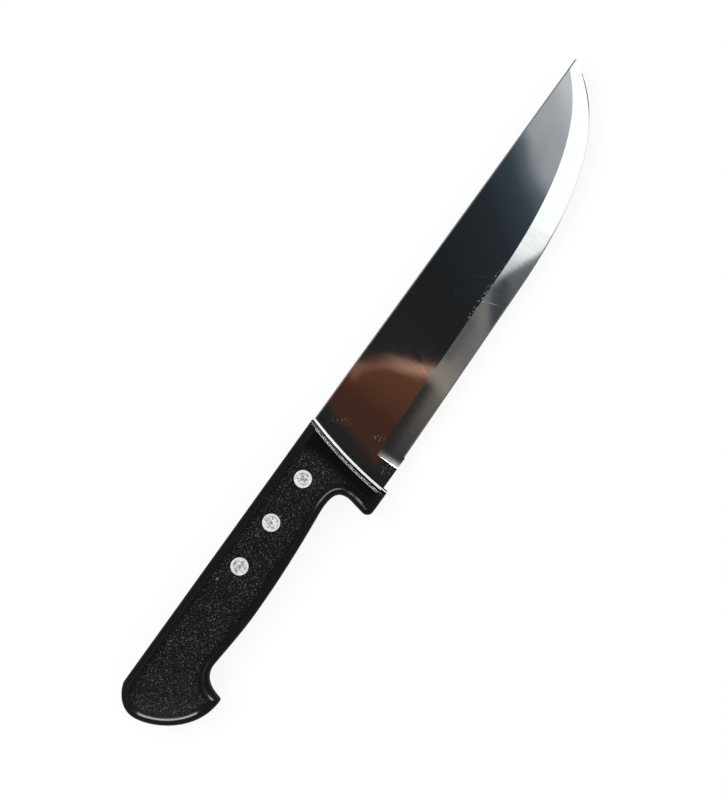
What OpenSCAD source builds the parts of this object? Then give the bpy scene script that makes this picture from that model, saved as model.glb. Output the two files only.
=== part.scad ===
/* [Blade] */
// Length of the blade from the front of the handle to the tip
blade_len = 174.2; // [150:1:220]
// Depth of the blade at the heel, from the spine to the edge
blade_depth = 37.9; // [34:0.1:39]
// Thickness of the blade sheet
blade_t = 2.5; // [1.8:0.1:3.5]
// Thickness left at the cutting edge
edge_t = 0.3; // [0.2:0.05:0.6]
// Width of the ground bevel at the heel
bevel_heel_w = 9.7; // [7:0.1:12]
// Width of the ground bevel at the tip
bevel_tip_w = 6.6; // [5:0.1:10]
// Width of the small chamfers along the spine
spine_chamfer = 0.5; // [0.2:0.05:0.8]
// Length of the unground heel in front of the handle
ricasso_len = 2.2; // [1:0.1:4]
// Length over which the bevel runs out at the heel
plunge_len = 3; // [1:0.1:4]
// Length of the heel before the sharpened edge starts
heel_len = 7.5; // [7:0.1:12]
// Step from the heel up to the sharpened edge
heel_step = 0.35; // [0.2:0.05:0.6]
// Length of the straight part of the edge
straight_len = 79; // [50:1:95]
// Depth of the blade where the straight part of the edge ends
straight_depth = 35.4; // [32:0.1:37]
// Angle between the spine and the edge at the tip
tip_angle = 61; // [45:1:66]

/* [Tang] */
// Depth of the tang, across the handle
tang_depth = 14.5; // [11:0.1:16]
// Length of tang behind the last rivet
tang_tail = 14; // [9:0.5:30]
// Distance that the blade goes into the handle at full depth
shoulder_len = 5; // [3:0.1:8]
// Radius of the tang's end corners
tang_end_r = 4; // [1:0.1:5]
// Radius in the corners where the tang meets the blade
shoulder_r = 2; // [1:0.1:3]

/* [Handle] */
// Length of the handle from its front to the butt
handle_len = 137.5; // [130:0.5:160]
// Thickness of the handle over both scales
handle_t = 17.5; // [15:0.1:22]
// Height of the handle's back over the spine at the front
back_rise = 0.6; // [0.5:0.05:1.5]
// Height of the handle's back over the spine at the butt
back_rise_rear = 0.1; // [-1:0.05:1]
// Width of the rounded border, seen from the side of the knife
border_w = 4.2; // [3:0.1:5]
// Height of the rounded border, across the handle's thickness
border_h = 6.5; // [4:0.1:7]
// Distance that the front slants back down to the guard
front_slant = 7.1; // [4:0.1:9]
// Depth of the hollow curve along the front
front_hollow = 1.2; // [0.8:0.05:2]
// Width of the cove between the front and the side faces
cove_w = 2.8; // [1.5:0.1:3.5]
// Radius of the edge where the cove meets the side faces
cove_edge_r = 0.5; // [0.2:0.05:0.8]
// Radius of the front corner at the handle's back
back_corner_r = 2.5; // [1.5:0.1:3]

/* [Guard and belly] */
// Depth of the guard below the spine
guard_depth = 40.1; // [39.5:0.1:44]
// Length of the guard at its foot
guard_len = 12.7; // [11:0.1:16]
// Distance that the guard's foot reaches behind its root
guard_flare = 1.4; // [0.5:0.1:3]
// Height of the guard's root over its foot
guard_root_h = 10.6; // [8:0.1:12]
// Radius of the guard's rear corner
guard_rear_r = 2.8; // [1:0.1:3.5]
// Radius of the guard's front corner
guard_front_r = 2; // [1:0.1:3]
// Distance from the front to the neck behind the guard
neck_x = 27; // [25:0.5:30]
// Depth of the handle at the neck
neck_depth = 23.2; // [22:0.1:25]
// Distance from the front to the fullest part of the belly
belly_x = 78.5; // [70:0.5:84]
// Depth of the handle at the belly
belly_depth = 26.2; // [24:0.1:29]

/* [Butt and hook] */
// Distance from the front to the throat before the hook
throat_x = 102.5; // [98:0.5:104]
// Depth of the handle at the throat
throat_depth = 24.8; // [23:0.1:27]
// Distance from the front to the point of the hook
hook_x = 111.7; // [109:0.1:113]
// Depth of the hook's point below the spine
hook_depth = 35; // [32:0.1:38]
// Radius of the hook's point
hook_r = 0.8; // [0.5:0.05:1.2]
// Length of the round at the top of the butt
butt_round_len = 9.5; // [7:0.1:12]
// Depth of the rearmost point of the butt
butt_depth = 10.4; // [9:0.1:13]

/* [Rivets] */
// Distance from the front to the first rivet
rivet_x = 22.5; // [19:0.1:26]
// Distance between the rivets
rivet_pitch = 21.1; // [18:0.1:24]
// Depth of the rivets below the spine
rivet_depth = 10.2; // [9.5:0.1:11]
// Diameter of a rivet's heads
head_d = 7.2; // [6:0.1:9]
// Thickness of a rivet's heads
head_t = 1.6; // [1:0.1:2.5]
// Chamfer on the heads' rims
head_chamfer = 0.25; // [0.1:0.05:0.4]
// Diameter of the rivet's tube
tube_d = 4; // [3.4:0.1:5]
// Diameter of the pin that is pressed into the tube
pin_d = 2.6; // [2:0.1:2.8]

/* [Fits] */
// Clearance round the tang in its pocket
pocket_gap = 0.1; // [0.05:0.01:0.2]
// Clearance round the rivets' tubes, on the radius
bore_gap = 0.05; // [0.02:0.01:0.15]

/* [Hidden] */
RIVETS = ["front", "middle", "rear"];
HALVES = ["tube", "pin"];
$fn = 96;

// Overrun of the cuts, and the small lift that keeps a cut clear of the face that it starts on
over = 1;
lift = 0.01;
// Radial width of the ring that trims the front, and how far the uncut scale stands before it
trim_w = 8;
trim_lead = 1;
// Points along a bend, round a corner, up the rounded border and along the cutting edge
bend_steps = 14;
corner_steps = 6;
border_steps = 8;
edge_steps = 26;
// How much of the way to the middle of a narrow lobe its border may reach
lobe_share = 0.96;
// Slope below which two outline points count as lying along the same side
grazing_share = 0.01;
// Lengths of the handles that shape each bend, as shares of the distance that it spans
butt_top_shares = [0.12, 0.5];
butt_low_shares = [0.22, 0.46];
hook_shares = [0.16, 0.56];
throat_shares = [0.12, 0.36];
belly_shares = [0.53, 0.06];
neck_shares = [0.66, 0.42];
tip_edge_shares = [0.49, 0.3];
// Power of the curve by which the bevel narrows towards the tip
bevel_fade = 9;
// Lean of the hook's inner side at its point, as a share of its rise
hook_lean_share = 0.28;
// How far the pin and the tube reach, as shares of the way between the heads
tube_share = 0.74;
pin_share = 0.76;
bore_share = 0.92;
// Depth of the tang's taper on each side, as a share of its depth
tang_taper_share = 0.1;

LEFT = [-1, 0];
RIGHT = [1, 0];
DOWN = [0, -1];

// Sizes that follow from the ones above, with x = 0 at the front of the handle and y = 0 on the spine
half_t = handle_t / 2;
half_blade = blade_t / 2;
wall_h = half_t - border_h;
mid_x = (blade_len - handle_len) / 2;
mid_y = (back_rise - guard_depth) / 2;
tang_y = -rivet_depth + tang_depth / 2;
tang_len = rivet_x + 2 * rivet_pitch + tang_tail;
grip_gap = handle_t - 2 * head_t;

// Point at share t along the curve that leaves a towards b and arrives at d from c
function along(a, b, c, d, t) =
    pow(1 - t, 3) * a + 3 * pow(1 - t, 2) * t * b + 3 * (1 - t) * t * t * c + pow(t, 3) * d;

// Bend that leaves a in direction u and arrives at b in direction v, without its first point
function bend(a, u, b, v, shares, steps) =
    let (span = norm(b - a), p = a + u * span * shares[0], q = b - v * span * shares[1])
    [for (i = [1:steps]) along(a, p, q, b, i / steps)];

// Round of radius r at the left-hand corner p, between directions u and v
function corner(p, u, v, r, steps) =
    let (from = atan2(u.y, u.x),
         turn = acos(u * v),
         centre = p - u * r * tan(turn / 2) + [-u.y, u.x] * r)
    [for (i = [0:steps]) centre + r * [sin(from + turn * i / steps), -cos(from + turn * i / steps)]];

function unit(v) = v / norm(v);

// Twice the area of the triangle a, b, c, which is positive where it turns left
function turn_of(a, b, c) = (b.x - a.x) * (c.y - a.y) - (b.y - a.y) * (c.x - a.x);

function in_triangle(a, b, c, q) =
    turn_of(a, b, q) >= 0 && turn_of(b, c, q) >= 0 && turn_of(c, a, q) >= 0;

// Triangles that fill the outline p, cut off one ear at a time. Ears below its highest points go first,
// and then the ones with the shortest cut, so that no sloping triangle reaches across the flat.
function ears(p, ids) =
    len(ids) == 3 ? [ids] :
    let (n = len(ids),
         high = max([for (k = ids) p[k].z]),
         cuts = [for (i = [0:n - 1])
             let (a = ids[(i + n - 1) % n], b = ids[i], c = ids[(i + 1) % n])
             if (turn_of(p[a], p[b], p[c]) > 0
                 && len([for (k = ids) if (k != a && k != b && k != c && in_triangle(p[a], p[b], p[c], p[k])) k]) == 0)
             [norm(p[c] - p[a]) + (p[b].z < high - lift ? 0 : handle_len), a, b, c]],
         shortest = min([for (cut = cuts) cut[0]]),
         ear = [for (cut = cuts) if (cut[0] == shortest) cut][0])
    concat([[ear[1], ear[2], ear[3]]], ears(p, [for (k = ids) if (k != ear[2]) k]));

// Outline of a scale seen from the right, counter-clockwise from the front corner at the back
front_u = unit([front_slant, guard_depth]);
back_front = [trim_lead, back_rise];
butt_top = [-handle_len + butt_round_len, back_rise_rear];
butt_end = [-handle_len, -butt_depth];
hook_tip = [-hook_x, -hook_depth];
hook_u = unit([hook_lean_share, 1]);
throat = [-throat_x, -throat_depth];
belly = [-belly_x, -belly_depth];
neck = [-neck_x, -neck_depth];
guard_rear_x = -front_slant - guard_len;
guard_root = [guard_rear_x + guard_flare, guard_root_h - guard_depth];
guard_foot = [guard_rear_x, -guard_depth];
guard_front = [trim_lead - front_slant * (guard_depth + back_rise) / guard_depth, -guard_depth];

back_round = corner(back_front, front_u, LEFT, back_corner_r, corner_steps);
hook_round = corner(hook_tip, RIGHT, hook_u, hook_r, corner_steps);
foot_round = corner(guard_foot, DOWN, RIGHT, guard_rear_r, corner_steps);
toe_round = corner(guard_front, RIGHT, front_u, guard_front_r, corner_steps);

scale_outline = concat(
    back_round,
    [butt_top],
    bend(butt_top, LEFT, butt_end, DOWN, butt_top_shares, bend_steps),
    bend(butt_end, DOWN, hook_round[0], RIGHT, butt_low_shares, bend_steps),
    [for (i = [1:corner_steps]) hook_round[i]],
    bend(hook_round[corner_steps], hook_u, throat, RIGHT, hook_shares, bend_steps),
    bend(throat, RIGHT, belly, RIGHT, throat_shares, bend_steps),
    bend(belly, RIGHT, neck, RIGHT, belly_shares, bend_steps),
    bend(neck, RIGHT, guard_root, DOWN, neck_shares, bend_steps),
    foot_round,
    toe_round
);

// Inward direction at point i of the outline p
function inward(p, i) =
    let (n = len(p), d = p[(i + 1) % n] - p[(i + n - 1) % n]) unit([-d.y, d.x]);

// Radius of the largest round that touches the outline p at point i and stays inside it
function room(p, i, u) =
    min([for (q = p) let (v = q - p[i], s = v * u) if (s > grazing_share * norm(v)) v * v / (2 * s)]);

// Body of one scale: a wall, then a rounded border that rises to the flat side face
module scale_body() {
    p = scale_outline;
    n = len(p);
    ids = [for (i = [0:n - 1]) i];
    u = [for (i = ids) inward(p, i)];
    reach = [for (i = ids) min(border_w, lobe_share * room(p, i, u[i]))];
    // Border ring k, where the inset grows with the angle and the height follows the ellipse
    function ring(k) = [for (i = ids)
        let (inset = reach[i] * (1 - cos(90 * k / border_steps)),
             rise = border_h * sqrt(1 - pow(1 - inset / border_w, 2)),
             q = p[i] + u[i] * inset)
        [q.x, q.y, wall_h + rise]];
    rings = concat([[for (q = p) [q.x, q.y, 0]]], [for (k = [0:border_steps]) ring(k)]);
    top = len(rings) - 1;
    points = [for (r = rings) each r];
    sides = [for (k = [0:top - 1]) for (i = ids)
        let (a = k * n + i, b = k * n + (i + 1) % n) each [[b, a, a + n], [b, a + n, b + n]]];
    floor_faces = ears(rings[0], ids);
    roof_faces = [for (t = ears(rings[top], ids)) [t[2] + top * n, t[1] + top * n, t[0] + top * n]];
    polyhedron(points, concat(sides, floor_faces, roof_faces));
}

// Arc along the hollow front, given by its centre and radius
front_chord = [front_slant, guard_depth];
front_r = pow(norm(front_chord), 2) / (8 * front_hollow) + front_hollow / 2;
front_centre = -front_chord / 2 + unit([guard_depth, -front_slant]) * (front_r - front_hollow);

// Ring that trims the front to its arc and turns the cove above the blade
module front_trim() {
    rise = half_t - half_blade;
    cove_h = rise - cove_edge_r;
    steps = border_steps;
    cove = [for (i = [0:steps]) let (a = 90 * i / steps)
        [front_r + cove_w * sin(a), half_blade + cove_h * (1 - cos(a))]];
    edge = [for (i = [1:steps]) let (a = 90 * i / steps)
        [front_r + cove_w + cove_edge_r * (1 - cos(a)), half_t - cove_edge_r + cove_edge_r * sin(a)]];
    outer = front_r + cove_w + cove_edge_r;
    translate(front_centre)
        rotate_extrude($fn = 720)
            polygon(concat(
                [[front_r - trim_w, -over], [front_r, -over]],
                cove,
                edge,
                [[outer, half_t + over], [front_r - trim_w, half_t + over]]));
}

// Corner fillet between the tang and the blade's shoulder, in the quarter plane that sx and sy point to
module fillet(at, sx, sy, r) {
    translate(at)
        scale([sx, sy])
            difference() {
                square(r);
                translate([r, r]) circle(r);
            }
}

// Outline of the tang and of the blade's end inside the handle, grown by g all round
module tang_shape(g) {
    taper = tang_depth * tang_taper_share;
    end = -tang_len;
    top = tang_y;
    low = tang_y - tang_depth;
    r = tang_end_r;
    shoulder_top = -shoulder_len;
    shoulder_low = -front_slant - shoulder_len;
    polygon([
        [0, g],
        [shoulder_top - g, g],
        [shoulder_top - g, top + g],
        [end + r, top - taper + g],
        [end - g, top - taper - r],
        [end - g, low + taper + r],
        [end + r, low + taper - g],
        [shoulder_low - g, low - g],
        [shoulder_low - g, -blade_depth - g],
        [0, -blade_depth - g]]);
    for (y = [top - taper - r, low + taper + r])
        translate([end + r, y]) circle(r + g);
    fillet([shoulder_top - g, top + g], -1, 1, shoulder_r);
    fillet([shoulder_low - g, low - g], -1, -1, shoulder_r);
}

// One bore for a rivet, with the seat for its head on the side z > 0
module rivet_bore() {
    cylinder(d = tube_d + 2 * bore_gap, h = handle_t, center = true);
    translate([0, 0, half_t - head_t])
        cylinder(d = head_d + 2 * bore_gap, h = head_t + over);
}

module at_rivet(i) {
    translate([-rivet_x - i * rivet_pitch, -rivet_depth, 0]) children();
}

// Puts a piece in the part's frame: the origin is under the middle, on the surface that the knife lies on
module place() {
    translate([-mid_x, -mid_y, half_t]) children();
}

module scale_half() {
    difference() {
        scale_body();
        front_trim();
        translate([0, 0, -over]) linear_extrude(over + half_blade) tang_shape(pocket_gap);
        for (i = [0:len(RIVETS) - 1]) at_rivet(i) rivet_bore();
    }
}

module right_scale() {
    color("#1b1b1d") place() scale_half();
}

module left_scale() {
    color("#1b1b1d") place() mirror([0, 0, 1]) scale_half();
}

// Cutting edge from the start of its sharpened part to the tip
edge_start = [heel_len, heel_step - blade_depth];
edge_mid = [heel_len + straight_len, -straight_depth];
edge_u = unit(edge_mid - edge_start);
blade_tip = [blade_len, 0];
tip_u = [cos(tip_angle), sin(tip_angle)];
edge_line = concat(
    [edge_start, edge_mid],
    bend(edge_mid, edge_u, blade_tip, tip_u, tip_edge_shares, edge_steps)
);

// Width of the bevel over the edge point at x
function bevel_w(x) = bevel_heel_w - (bevel_heel_w - bevel_tip_w) * pow(x / blade_len, bevel_fade);

// Cross-section of the bevel's cut at x over the edge height y, where s is the share of its full depth
function bevel_section(x, y, s) =
    let (w = bevel_w(x), drop = s * (blade_t - edge_t) / 2)
    [[x, y - over, half_blade + over],
     [x, y - over, half_blade + lift - drop * (w + over) / w],
     [x, y + w, half_blade + lift],
     [x, y + w, half_blade + over]];

// Cut that makes the bevel on the side z > 0, from its run-out at the heel to past the tip
module bevel_cut() {
    heel_y = -blade_depth;
    start_x = ricasso_len;
    run_out = [for (i = [0:corner_steps]) let (a = 90 * i / corner_steps)
        bevel_section(start_x + plunge_len * (1 - cos(a)), heel_y, sin(a))];
    along_edge = [for (q = edge_line) bevel_section(q.x, q.y, 1)];
    past = blade_tip + tip_u * over * 2;
    sections = concat(run_out, along_edge, [bevel_section(past.x, past.y, 1)]);
    n = len(sections);
    points = [for (s = sections) each s];
    skin = [for (k = [0:n - 2]) for (i = [0:3])
        let (a = 4 * k + i, b = 4 * k + (i + 1) % 4) each [[b, a, a + 4], [b, a + 4, b + 4]]];
    ends = [[0, 1, 2], [0, 2, 3], [4 * n - 2, 4 * n - 3, 4 * n - 4], [4 * n - 1, 4 * n - 2, 4 * n - 4]];
    polyhedron(points, concat(skin, ends));
}

// Chamfer cut along one edge of the spine
module spine_cut() {
    side = spine_chamfer * sqrt(2);
    translate([-handle_len, 0, half_blade])
        rotate([45, 0, 0])
            translate([0, -side / 2, -side / 2]) cube([handle_len + blade_len + over, side, side]);
}

module blade_plate() {
    linear_extrude(blade_t, center = true) {
        tang_shape(0);
        polygon(concat(
            [[0, 0], [0, -blade_depth], [heel_len, -blade_depth]],
            edge_line));
    }
}

module blade() {
    color("#c4c7ca") place() difference() {
        blade_plate();
        for (side = [0, 1]) mirror([0, 0, side]) {
            bevel_cut();
            spine_cut();
        }
        for (i = [0:len(RIVETS) - 1]) at_rivet(i)
            cylinder(d = tube_d + 2 * bore_gap, h = blade_t + over, center = true);
    }
}

// Half of a rivet: a head whose face lies in the side face, and a shank that points down
module rivet_half(shank_d, shank_len) {
    translate([0, 0, half_t - head_t]) {
        cylinder(d = head_d, h = head_t - head_chamfer);
        translate([0, 0, head_t - head_chamfer])
            cylinder(d1 = head_d, d2 = head_d - 2 * head_chamfer, h = head_chamfer);
        translate([0, 0, -shank_len]) cylinder(d = shank_d, h = shank_len);
    }
}

module rivet_tube(i) {
    tube_len = grip_gap * tube_share;
    bore_len = tube_len * bore_share;
    color("#c9cacb") place() at_rivet(i) difference() {
        rivet_half(tube_d, tube_len);
        translate([0, 0, half_t - head_t - tube_len - over])
            cylinder(d = pin_d, h = bore_len + over);
    }
}

module rivet_pin(i) {
    color("#c9cacb") place() at_rivet(i) mirror([0, 0, 1]) rivet_half(pin_d, grip_gap * pin_share);
}

blade();
right_scale();
left_scale();
for (i = [0:len(RIVETS) - 1]) {
    rivet_tube(i);
    rivet_pin(i);
}
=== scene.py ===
"""Looks of the kitchen knife, built around its solids. Lengths are millimetres until they reach Blender."""

import math

import bmesh
import bpy
import numpy as np
from mathutils import Matrix, Vector
from mathutils.geometry import delaunay_2d_cdt


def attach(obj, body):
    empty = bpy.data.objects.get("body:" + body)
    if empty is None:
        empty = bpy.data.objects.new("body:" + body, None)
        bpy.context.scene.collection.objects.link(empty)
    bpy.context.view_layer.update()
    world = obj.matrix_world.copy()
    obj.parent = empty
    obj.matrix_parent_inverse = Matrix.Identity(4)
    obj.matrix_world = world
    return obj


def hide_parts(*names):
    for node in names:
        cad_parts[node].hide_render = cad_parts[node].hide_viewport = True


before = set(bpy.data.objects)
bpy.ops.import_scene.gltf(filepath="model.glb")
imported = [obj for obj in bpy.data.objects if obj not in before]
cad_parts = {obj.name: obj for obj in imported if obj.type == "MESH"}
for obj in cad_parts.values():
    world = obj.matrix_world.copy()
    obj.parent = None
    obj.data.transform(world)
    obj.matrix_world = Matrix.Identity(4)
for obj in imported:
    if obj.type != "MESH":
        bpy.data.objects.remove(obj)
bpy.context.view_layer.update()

MM = 0.001

# Sizes of the solids
# Their datum has x = 0 at the front of the handle, y = 0 on the spine and z = 0 in the middle of the blade
BLADE_LEN, BLADE_DEPTH, BLADE_T, EDGE_T = 174.2, 37.9, 2.5, 0.3
BEVEL_HEEL_W, BEVEL_TIP_W, BEVEL_FADE = 9.7, 6.6, 9
SPINE_ROUND = 0.5
RICASSO_LEN, PLUNGE_LEN, HEEL_LEN, HEEL_STEP = 2.2, 3.0, 7.5, 0.35
STRAIGHT_LEN, STRAIGHT_DEPTH, TIP_ANGLE = 79.0, 35.4, math.radians(61)
TANG_DEPTH, TANG_TAIL, SHOULDER_LEN, TANG_END_R = 14.5, 14.0, 5.0, 4.0
HANDLE_LEN, HANDLE_T, BACK_RISE, BACK_RISE_REAR = 137.5, 17.5, 0.6, 0.1
BORDER_W, BORDER_H = 4.2, 6.5
FRONT_SLANT, FRONT_HOLLOW, COVE_W, COVE_EDGE_R = 7.1, 1.2, 2.8, 0.5
GUARD_DEPTH = 40.1
RIVET_X, RIVET_PITCH, RIVET_DEPTH = 22.5, 21.1, 10.2
HEAD_D, HEAD_T, TUBE_D, PIN_D = 7.2, 1.6, 4.0, 2.6
GAP = 0.05
TRIM_LEAD = 1.0

HALF_T, HALF_BLADE = HANDLE_T / 2, BLADE_T / 2
WALL_H = HALF_T - BORDER_H
DATUM = np.array([-(BLADE_LEN - HANDLE_LEN) / 2, (GUARD_DEPTH - BACK_RISE) / 2, HALF_T])
TANG_LEN = RIVET_X + 2 * RIVET_PITCH + TANG_TAIL
# Rise of the straight part of the edge for each millimetre along the blade
EDGE_LEAN = 0.0272
# Share of the cove's quarter ellipse that is left out at its foot, so that it leaves the blade at a slope
COVE_FOOT = 0.2

# Spacing of the handle's points: along its outline, in rows inside it, and over its flat
OUTLINE_STEP = 0.33
BORDER_ROWS = (0.06, 0.18, 0.36, 0.6, 0.9, 1.25, 1.6, 2.0, 2.4, 2.85, 3.3, 3.75, 4.2, 4.6)
GRID, GRID_INSET = 0.9, 4.9
# Height over the joint between the two scales, and depth of the groove there
PARTING_GROOVE = ((1.0, 0.0), (0.14, 0.0), (0.1, 0.03), (0.04, 0.11), (0.0, 0.12))
# Edges that turn by more than this are sharp
SHARP_ANGLE = math.radians(35)


# Curves

def unit(v):
    v = np.asarray(v, float)
    return v / np.hypot(*v)


def bend(a, u, b, v, shares, steps=60):
    """Smooth bend that leaves a in direction u and arrives at b in direction v, without its first point."""
    a, b, u, v = (np.asarray(q, float) for q in (a, b, u, v))
    span = np.hypot(*(b - a))
    p, q = a + u * span * shares[0], b - v * span * shares[1]
    t = (np.arange(1, steps + 1) / steps)[:, None]
    return (1 - t) ** 3 * a + 3 * (1 - t) ** 2 * t * p + 3 * (1 - t) * t * t * q + t ** 3 * b


def corner(p, u, v, r, steps=16):
    """Round of radius r at the left-hand corner p, between directions u and v."""
    p, u, v = (np.asarray(q, float) for q in (p, u, v))
    turn = math.acos(float(np.dot(u, v)))
    centre = p - u * r * math.tan(turn / 2) + np.array([-u[1], u[0]]) * r
    a = math.atan2(u[1], u[0]) + turn * np.arange(steps + 1) / steps
    return centre + r * np.stack([np.sin(a), -np.cos(a)], 1)


def even(path, step, closed=False):
    """The same path with its points about step apart."""
    p = np.vstack([path, path[:1]]) if closed else np.asarray(path)
    run = np.concatenate([[0], np.cumsum(np.hypot(*np.diff(p, axis=0).T))])
    count = max(int(round(run[-1] / step)), 2)
    s = np.linspace(0, run[-1], count + 1)[: count if closed else count + 1]
    return np.stack([np.interp(s, run, p[:, i]) for i in (0, 1)], 1)


def scale_outline():
    """Outline of a handle scale seen from the right, counter-clockwise from the front corner at the back."""
    left, right, down = np.array([-1.0, 0]), np.array([1.0, 0]), np.array([0, -1.0])
    front_u = unit([FRONT_SLANT, GUARD_DEPTH])
    hook_u = unit([0.28, 1])
    butt_top, butt_end = [-128.0, BACK_RISE_REAR], [-HANDLE_LEN, -10.4]
    throat, belly, neck = [-102.5, -24.8], [-78.5, -26.2], [-27.0, -23.2]
    guard_root, guard_foot = [-18.4, -29.5], [-19.8, -GUARD_DEPTH]
    front_x = TRIM_LEAD - FRONT_SLANT * (GUARD_DEPTH + BACK_RISE) / GUARD_DEPTH
    hook = corner([-111.7, -35.0], right, hook_u, 0.8)
    path = np.vstack([
        corner([TRIM_LEAD, BACK_RISE], front_u, left, 2.5),
        [butt_top],
        bend(butt_top, left, butt_end, down, (0.12, 0.5)),
        bend(butt_end, down, hook[0], right, (0.22, 0.46)),
        hook[1:],
        bend(hook[-1], hook_u, throat, right, (0.16, 0.56)),
        bend(throat, right, belly, right, (0.12, 0.36)),
        bend(belly, right, neck, right, (0.53, 0.06)),
        bend(neck, right, guard_root, down, (0.66, 0.42)),
        corner(guard_foot, down, right, 2.8),
        corner([front_x, -GUARD_DEPTH], right, front_u, 2.0),
    ])
    return even(path, OUTLINE_STEP, closed=True)


OUTLINE = scale_outline()
CHORD = np.array([FRONT_SLANT, GUARD_DEPTH])
FRONT_R = float(CHORD @ CHORD) / (8 * FRONT_HOLLOW) + FRONT_HOLLOW / 2
FRONT_C = -CHORD / 2 + unit([GUARD_DEPTH, -FRONT_SLANT]) * (FRONT_R - FRONT_HOLLOW)

edge_start = np.array([HEEL_LEN, HEEL_STEP - BLADE_DEPTH])
edge_mid = np.array([HEEL_LEN + STRAIGHT_LEN, -STRAIGHT_DEPTH])
EDGE = np.vstack([[edge_start], [edge_mid],
                  bend(edge_mid, unit(edge_mid - edge_start), [BLADE_LEN, 0],
                       [math.cos(TIP_ANGLE), math.sin(TIP_ANGLE)], (0.49, 0.3), 200)])


def depth_in(pts, path):
    """Distance from each point to the closed path."""
    a, b = path, np.roll(path, -1, axis=0)
    d = b - a
    out = np.empty(len(pts))
    for k in range(0, len(pts), 2000):
        q = pts[k:k + 2000, None, :] - a[None]
        t = np.clip((q * d).sum(2) / (d * d).sum(1), 0, 1)[..., None]
        out[k:k + 2000] = np.sqrt(((q - t * d) ** 2).sum(2).min(1))
    return out


def is_inside(pts, path):
    a, b = path, np.roll(path, -1, axis=0)
    out = np.zeros(len(pts), bool)
    for p, q in zip(a, b):
        crosses = (p[1] > pts[:, 1]) != (q[1] > pts[:, 1])
        with np.errstate(divide="ignore", invalid="ignore"):
            x = (q[0] - p[0]) * (pts[:, 1] - p[1]) / (q[1] - p[1]) + p[0]
        out ^= crosses & (pts[:, 0] < x)
    return out


# Meshes

def new_object(name, verts, faces, materials, mats=None, sharp=()):
    """Mesh object from points in millimetres in the datum above."""
    mesh = bpy.data.meshes.new(name)
    mesh.from_pydata([tuple((np.array(v) + DATUM) * MM) for v in verts], [], faces)
    mesh.validate()
    for m in materials:
        mesh.materials.append(m)
    if mats is not None:
        mesh.polygons.foreach_set("material_index", mats)
    obj = bpy.data.objects.new(name, mesh)
    bpy.context.scene.collection.objects.link(obj)
    shade(obj)
    if sharp:
        keys = {tuple(sorted(e)) for e in sharp}
        for e in mesh.edges:
            if tuple(sorted(e.vertices)) in keys:
                e.use_edge_sharp = True
    return obj


def shade(obj):
    obj.data.shade_smooth()
    obj.data.set_sharp_from_angle(angle=SHARP_ANGLE)


def cut(obj, cutters):
    """Cuts the cutters out of obj and removes them."""
    for c in cutters:
        mod = obj.modifiers.new("cut", "BOOLEAN")
        mod.operation, mod.solver, mod.object = "DIFFERENCE", "EXACT", c
    bpy.context.view_layer.update()
    deps = bpy.context.evaluated_depsgraph_get()
    mesh = bpy.data.meshes.new_from_object(obj.evaluated_get(deps))
    obj.modifiers.clear()
    obj.data = mesh
    for c in cutters:
        bpy.data.objects.remove(c)


def lathe(name, profile, x, y, materials, steps=96, flip=False):
    """Turned piece: the profile's (radius, height) points, from axis to axis, round the axis at x, y."""
    n = len(profile)
    verts, faces = [], []
    s = -1 if flip else 1
    for k in range(steps):
        a = 2 * math.pi * k / steps
        verts += [(x + r * math.cos(a), y + s * r * math.sin(a), s * z) for r, z in profile]
    for k in range(steps):
        a, b = k * n, (k + 1) % steps * n
        faces += [(a + i, b + i, b + i + 1, a + i + 1) for i in range(n - 1)]
    obj = new_object(name, verts, faces, materials)
    bm = bmesh.new()
    bm.from_mesh(obj.data)
    bmesh.ops.remove_doubles(bm, verts=bm.verts, dist=1e-7)
    bmesh.ops.recalc_face_normals(bm, faces=bm.faces)
    bm.to_mesh(obj.data)
    bm.free()
    return obj


def scale_height(pts):
    """Height of a scale over the blade's middle: the rounded border, and the cove along the front."""
    t = np.clip(depth_in(pts, OUTLINE) / BORDER_W, 0, 1)
    border = WALL_H + BORDER_H * np.sqrt(1 - (1 - t) ** 2)
    s = np.hypot(*(pts - FRONT_C).T) - FRONT_R
    run = COVE_FOOT + (1 - COVE_FOOT) * np.clip(s / COVE_W, 0, 1)
    rise = 1 - np.sqrt(1 - run ** 2) / math.sqrt(1 - COVE_FOOT ** 2)
    foot, edge = HALF_BLADE + 0.02, HALF_T - COVE_EDGE_R
    hollow = foot + (edge - foot) * rise
    over = np.clip((s - COVE_W) / COVE_EDGE_R, 0, 1)
    lip = edge + COVE_EDGE_R * np.sqrt(1 - (1 - over) ** 2)
    return np.minimum(border, np.where(s < COVE_W, hollow, lip))


def front_arc(s):
    """Arc at distance s behind the front, from above the spine down to below the guard."""
    top = math.atan2(-FRONT_C[1], -FRONT_C[0])
    span = GUARD_DEPTH / FRONT_R
    a = np.linspace(top - 0.12 * span, top + 1.2 * span, int(1.3 * span * FRONT_R / OUTLINE_STEP))
    return FRONT_C + (FRONT_R + s) * np.stack([np.cos(a), np.sin(a)], 1)


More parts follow.
